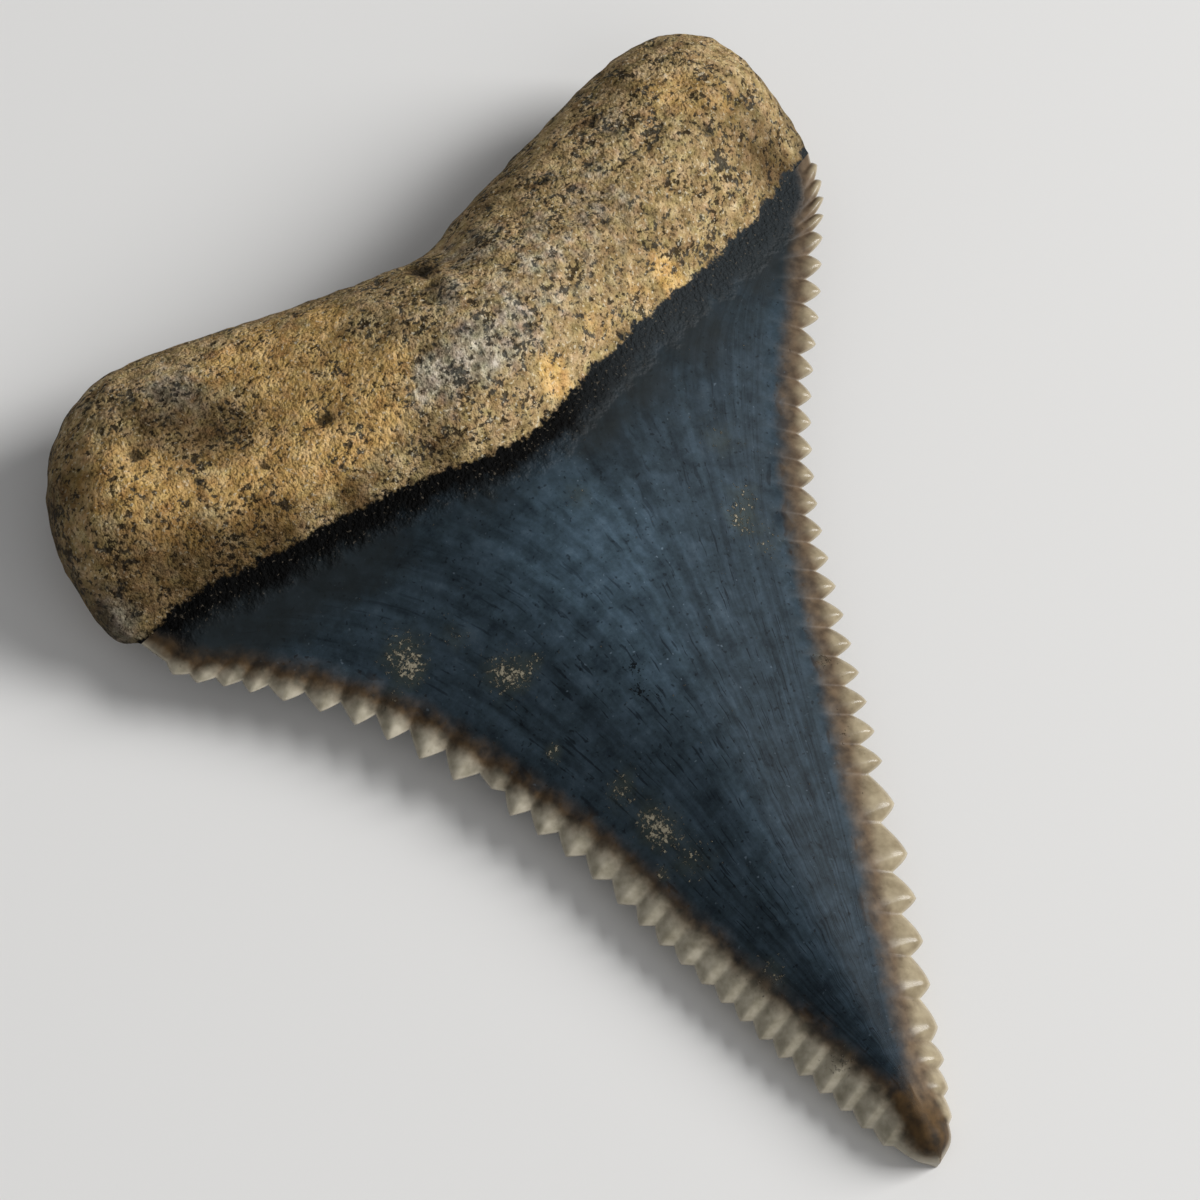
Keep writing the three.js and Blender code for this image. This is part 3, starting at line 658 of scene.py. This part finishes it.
def enamel_look(tree, place, blotches, across):
    """Fossil enamel: satin and dark blue-grey, mottled, with fine lines down its growth."""
    along = add(tree, "Attribute", attribute_name="along", output="Fac")
    stretched = add(tree, "Math", (along, GROWTH_STRETCH), operation="MULTIPLY")
    growth = add(tree, "CombineXYZ", (across, stretched))
    mottle = add(tree, "TexNoise", {"Vector": place, "Scale": 1 / MOTTLE, "Detail": 6.0, "Roughness": 0.72})
    colour = add(tree, "ValToRGB", [mottle], stops=[
        (0.34, "#1f282f"), (0.68, "#38444d"), (0.46, "#29343b"), (0.56, "#2f3b44"),
    ])
    bands = add(tree, "TexNoise", {"Vector": growth, "Scale": 1 / GROWTH_BAND, "Detail": 3.0})
    soft = add(tree, "MapRange", (bands, 0.35, 0.65, 0.30, 0.70))
    colour = add(tree, "Mix", {0: 0.7, 6: colour, 7: soft}, blend_type="OVERLAY", **COLOUR)
    lines = add(tree, "TexNoise", {"Vector": growth, "Scale": 1 / GROWTH_LINE, "Detail": 1.0})
    broken = add(tree, "Math", (blotches, 0.5, lines), operation="MULTIPLY_ADD")
    drawn = add(tree, "MapRange", (broken, 0.62, 0.54, 0.0, 0.7), **SOFT)
    away = add(tree, "MapRange", (along, 1.0, 9.0, 0.25, 1.0))
    drawn = add(tree, "Math", (drawn, away), operation="MULTIPLY")
    colour = add(tree, "Mix", {0: drawn, 6: colour, 7: "#10161c"}, **COLOUR)
    speck = add(tree, "TexNoise", {"Vector": place, "Scale": 1 / SPECK, "Detail": 1.0})
    dark = add(tree, "MapRange", (speck, 0.34, 0.26, 0.0, 0.6), **SOFT)
    colour = add(tree, "Mix", {0: dark, 6: colour, 7: "#0c1014"}, **COLOUR)
    light = add(tree, "MapRange", (speck, 0.72, 0.82, 0.0, 0.3), **SOFT)
    colour = add(tree, "Mix", {0: light, 6: colour, 7: "#74828e"}, **COLOUR)
    # It is darker towards the neck and the tip, over 40 mm, and lighter in its middle
    lengthwise = add(tree, "Math", (along, 0.025), operation="MULTIPLY")
    shade = add(tree, "ValToRGB", [lengthwise], stops=[
        (0.01, "#cfd0ce"), (0.85, "#9da3aa"), (0.12, "#ffffff"), (0.5, "#eeefef"),
    ])
    colour = add(tree, "Mix", {0: 1.0, 6: colour, 7: shade}, blend_type="MULTIPLY", **COLOUR)
    # Painted light: paler patches in the blade's middle and towards its right
    pale = add(tree, "Attribute", attribute_name="painted_light_patches", output="Fac")
    pale = add(tree, "Math", (blotches, 0.6, pale), operation="MULTIPLY_ADD")
    pale = add(tree, "MapRange", (pale, 0.3, 1.3, 0.0, 0.9), **SOFT)
    colour = add(tree, "Mix", {0: pale, 6: colour, 7: "#e6eaec"}, blend_type="OVERLAY", **COLOUR)
    # Smoky places, a few pits painted dark with the shade inside them, and pale crumbs of rock that stick to
    # the surface on darker spots
    fine = add(tree, "TexNoise", {"Vector": place, "Scale": 1 / CRUMB, "Detail": 4.0, "Roughness": 0.7})
    marks = [
        ("smoked", blotches, 1.0, 0.6, 1.5, 0.7, "#1f2222"),
        ("enamel_pit_shade", fine, 5.2, 3.6, 3.8, 0.9, "#07090b"),
        ("crumbs", blotches, 1.2, 0.7, 1.8, 0.6, "#3d433c"),
        ("crumbs", fine, 5.2, 3.6, 4.15, 0.85, "#a79e88"),
    ]
    for name, grains, strength, start, full, most, stain in marks:
        mark = add(tree, "Attribute", attribute_name=name, output="Fac")
        mark = add(tree, "Math", (grains, strength, mark), operation="MULTIPLY_ADD")
        mark = add(tree, "MapRange", (mark, start, full, 0.0, most), **SOFT)
        colour = add(tree, "Mix", {0: mark, 6: colour, 7: stain}, **COLOUR)
    return colour, lines, mark


def margin_look(tree, colour, place, blotches, right):
    """The thin cutting margins: brown, and pale like horn where the light comes through them."""
    from_edge = add(tree, "Attribute", attribute_name="from_edge", output="Fac")
    serration = add(tree, "Attribute", attribute_name="serration", output="Fac")
    along = add(tree, "Attribute", attribute_name="along", output="Fac")
    tip_stain = add(tree, "Attribute", attribute_name="browned", output="Fac")
    wander = add(tree, "Math", (blotches, 0.7, from_edge), operation="MULTIPLY_ADD")
    # Both zones get wider towards the tip and are narrower on the right, and the tip is all brown
    wider = add(tree, "MapRange", (along, 8.0, 24.0, 0.0, -0.3), **SOFT)
    wander = add(tree, "Math", (wander, wider), operation="ADD")
    narrower = add(tree, "Math", (wider, 0.9, wander), operation="MULTIPLY_ADD")
    narrower = add(tree, "Math", (right, 0.15, narrower), operation="MULTIPLY_ADD")
    narrower = add(tree, "Math", (tip_stain, -1.4, narrower), operation="MULTIPLY_ADD")
    brown = add(tree, "MapRange", (narrower, 1.65, 0.6, 0.0, 1.0), **SOFT)
    streak = add(tree, "TexNoise", {"Vector": place, "Scale": 1 / STREAK, "Detail": 3.0})
    left_brown = add(tree, "ValToRGB", [streak], stops=[(0.35, "#31281e"), (0.65, "#54412a")])
    right_brown = add(tree, "ValToRGB", [streak], stops=[(0.35, "#514437"), (0.65, "#6f5e4b")])
    side = add(tree, "Math", (right, tip_stain), operation="SUBTRACT", use_clamp=True)
    brown_colour = add(tree, "Mix", {0: side, 6: left_brown, 7: right_brown}, **COLOUR)
    grey_horn = add(tree, "ValToRGB", [streak], stops=[(0.3, "#8a8370"), (0.7, "#b6ae9b")])
    warm_horn = add(tree, "ValToRGB", [streak], stops=[(0.3, "#84775f"), (0.7, "#a3967c")])
    horn = add(tree, "Mix", {0: right, 6: grey_horn, 7: warm_horn}, **COLOUR)
    ridges = add(tree, "MapRange", (right, 0.0, 1.0, -0.15, -0.8))
    pale = add(tree, "Math", (serration, ridges, wander), operation="MULTIPLY_ADD")
    pale = add(tree, "Math", (right, 0.6, pale), operation="MULTIPLY_ADD")
    pale = add(tree, "Math", (wider, 1.8, pale), operation="MULTIPLY_ADD")
    pale = add(tree, "Math", (tip_stain, 0.8, pale), operation="MULTIPLY_ADD")
    pale = add(tree, "MapRange", (pale, 0.85, -0.1, 0.0, 1.0), **SOFT)
    margin = add(tree, "Mix", {0: pale, 6: brown_colour, 7: horn}, **COLOUR)
    # A painted bright rim along the very outline, where light comes through the thin edge
    outline = add(tree, "Attribute", attribute_name="from_outline", output="Fac")
    outline = add(tree, "MapRange", (outline, 0.16, 0.0, 0.0, 0.45), **SOFT)
    margin = add(tree, "Mix", {0: outline, 6: margin, 7: "#bdb5a4"}, **COLOUR)
    return add(tree, "Mix", {0: brown, 6: colour, 7: margin}, **COLOUR), brown, pale


def fossil_material():
    """A fossil tooth, turned to phosphate rock in layers: glassy margins, satin enamel, dull dentine."""
    material = bpy.data.materials.new("fossil enamel and dentine")
    material.use_nodes = True
    tree = material.node_tree
    tree.nodes.clear()
    metres = add(tree, "TexCoord", output="Object")
    place = add(tree, "VectorMath", {0: metres, "Scale": 1000.0}, operation="SCALE")
    across = add(tree, "Attribute", attribute_name="across", output="Fac")
    right = add(tree, "MapRange", (across, 19.0, 25.0, 0.0, 1.0))
    blotches = add(tree, "TexNoise", {"Vector": place, "Scale": 1 / BLOTCH, "Detail": 3.0, "Roughness": 0.6})
    dentine, grit = dentine_look(tree, place, blotches)
    enamel, lines, crumbs = enamel_look(tree, place, blotches, across)
    enamel, margin, horn = margin_look(tree, enamel, place, blotches, right)

    # The bare neck: a gritty strip with painted glints, black on the left and charcoal on the right, sharp
    # against the root and fading into the enamel. It stops short of the cutting margins.
    from_neck = add(tree, "Attribute", attribute_name="from_neck", output="Fac")
    below = add(tree, "Math", (blotches, 1.4, from_neck), operation="MULTIPLY_ADD")
    bare = add(tree, "MapRange", (below, -0.85, 0.2, 0.0, 1.0), **SOFT)
    short = add(tree, "MapRange", (margin, 0.1, 0.6, 1.0, 0.0))
    bare = add(tree, "Math", (bare, short), operation="MULTIPLY")
    strip = add(tree, "Mix", {0: right, 6: "#060606", 7: "#272b2d"}, **COLOUR)
    # Painted glints on the neck's grit
    glints = add(tree, "TexNoise", {"Vector": place, "Scale": 1 / GLINT, "Detail": 2.0})
    glints = add(tree, "MapRange", (glints, 0.62, 0.74, 0.0, 0.6), **SOFT)
    strip = add(tree, "Mix", {0: glints, 6: strip, 7: "#5e564a"}, **COLOUR)
    crown_colour = add(tree, "Mix", {0: bare, 6: enamel, 7: strip}, **COLOUR)
    ragged = add(tree, "Math", (grit, 0.2, from_neck), operation="MULTIPLY_ADD")
    ragged = add(tree, "Math", (blotches, 0.9, ragged), operation="MULTIPLY_ADD")
    on_root = add(tree, "MapRange", (ragged, 0.75, 0.95, 0.0, 1.0), **SOFT)
    colour = add(tree, "Mix", {0: on_root, 6: crown_colour, 7: dentine}, **COLOUR)

    dull = add(tree, "Math", (on_root, bare), operation="MAXIMUM")
    roughness = add(tree, "MapRange", (horn, 0.0, 1.0, 0.42, 0.22))
    roughness = add(tree, "Mix", {0: dull, 2: roughness, 3: 0.85})
    height = add(tree, "Math", (lines, 0.05, crumbs), operation="MULTIPLY_ADD")
    height = add(tree, "Mix", {0: dull, 2: height, 3: grit})
    polish = add(tree, "Math", (horn, 0.3), operation="MULTIPLY")
    bump = add(tree, "Bump", {"Strength": 1.0, "Distance": BUMP_DEPTH, "Height": height})
    surface = add(tree, "BsdfPrincipled", {
        "Base Color": colour, "Roughness": roughness, "Normal": bump,
        "IOR": 1.62, "Specular IOR Level": 0.05, "Coat Weight": polish, "Coat Roughness": 0.2,
    })
    add(tree, "OutputMaterial", {"Surface": surface})
    return material


surface = tooth_mesh()
for name, patches in MARKS.items():
    marked(surface, name, patches)
surface.materials.append(fossil_material())
tooth = bpy.data.objects.new("fossil_tooth", surface)
scene.collection.objects.link(tooth)
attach(tooth, "root")
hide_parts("tooth")

# The floor: a plain pale sheet of matt paper that the tooth lies on, wide enough to fill the frame
# from any side
REACH = 3.0
floor_mesh = bpy.data.meshes.new("paper")
floor_mesh.from_pydata([(-REACH, -REACH, 0), (REACH, -REACH, 0), (REACH, REACH, 0), (-REACH, REACH, 0)],
                       [], [(0, 1, 2, 3)])
floor = bpy.data.objects.new("floor", floor_mesh)
paper = bpy.data.materials.new("matt white paper")
paper.use_nodes = True
paper_look = paper.node_tree.nodes["Principled BSDF"]
paper_look.inputs["Base Color"].default_value = linear("#e3e2e0")
paper_look.inputs["Roughness"].default_value = 0.9
floor_mesh.materials.append(paper)
scene.collection.objects.link(floor)

# The light: a large soft box on the right, a weak one in front, and a pale room around them.
# Distances and sizes are in metres, and power is in watts.
LIGHTS = {
    "key": {"direction": (0.8, -0.3, 0.52), "distance": 0.8, "size": 0.4, "power": 8.0},
    "fill": {"direction": (0.1, -0.9, 0.6), "distance": 0.5, "size": 0.4, "power": 0.4},
}
for name, light in LIGHTS.items():
    lamp = bpy.data.lights.new(name, "AREA")
    lamp.size = light["size"]
    lamp.energy = light["power"]
    lamp_object = bpy.data.objects.new(name, lamp)
    direction = Vector(light["direction"]).normalized()
    lamp_object.location = direction * light["distance"]
    lamp_object.rotation_euler = (-direction).to_track_quat("-Z", "Y").to_euler()
    scene.collection.objects.link(lamp_object)

world = bpy.data.worlds.new("room")
world.use_nodes = True
world.node_tree.nodes["Background"].inputs["Color"].default_value = linear("#f2f3f5")
world.node_tree.nodes["Background"].inputs["Strength"].default_value = 0.28
scene.world = world
scene.view_settings.view_transform = "Standard"
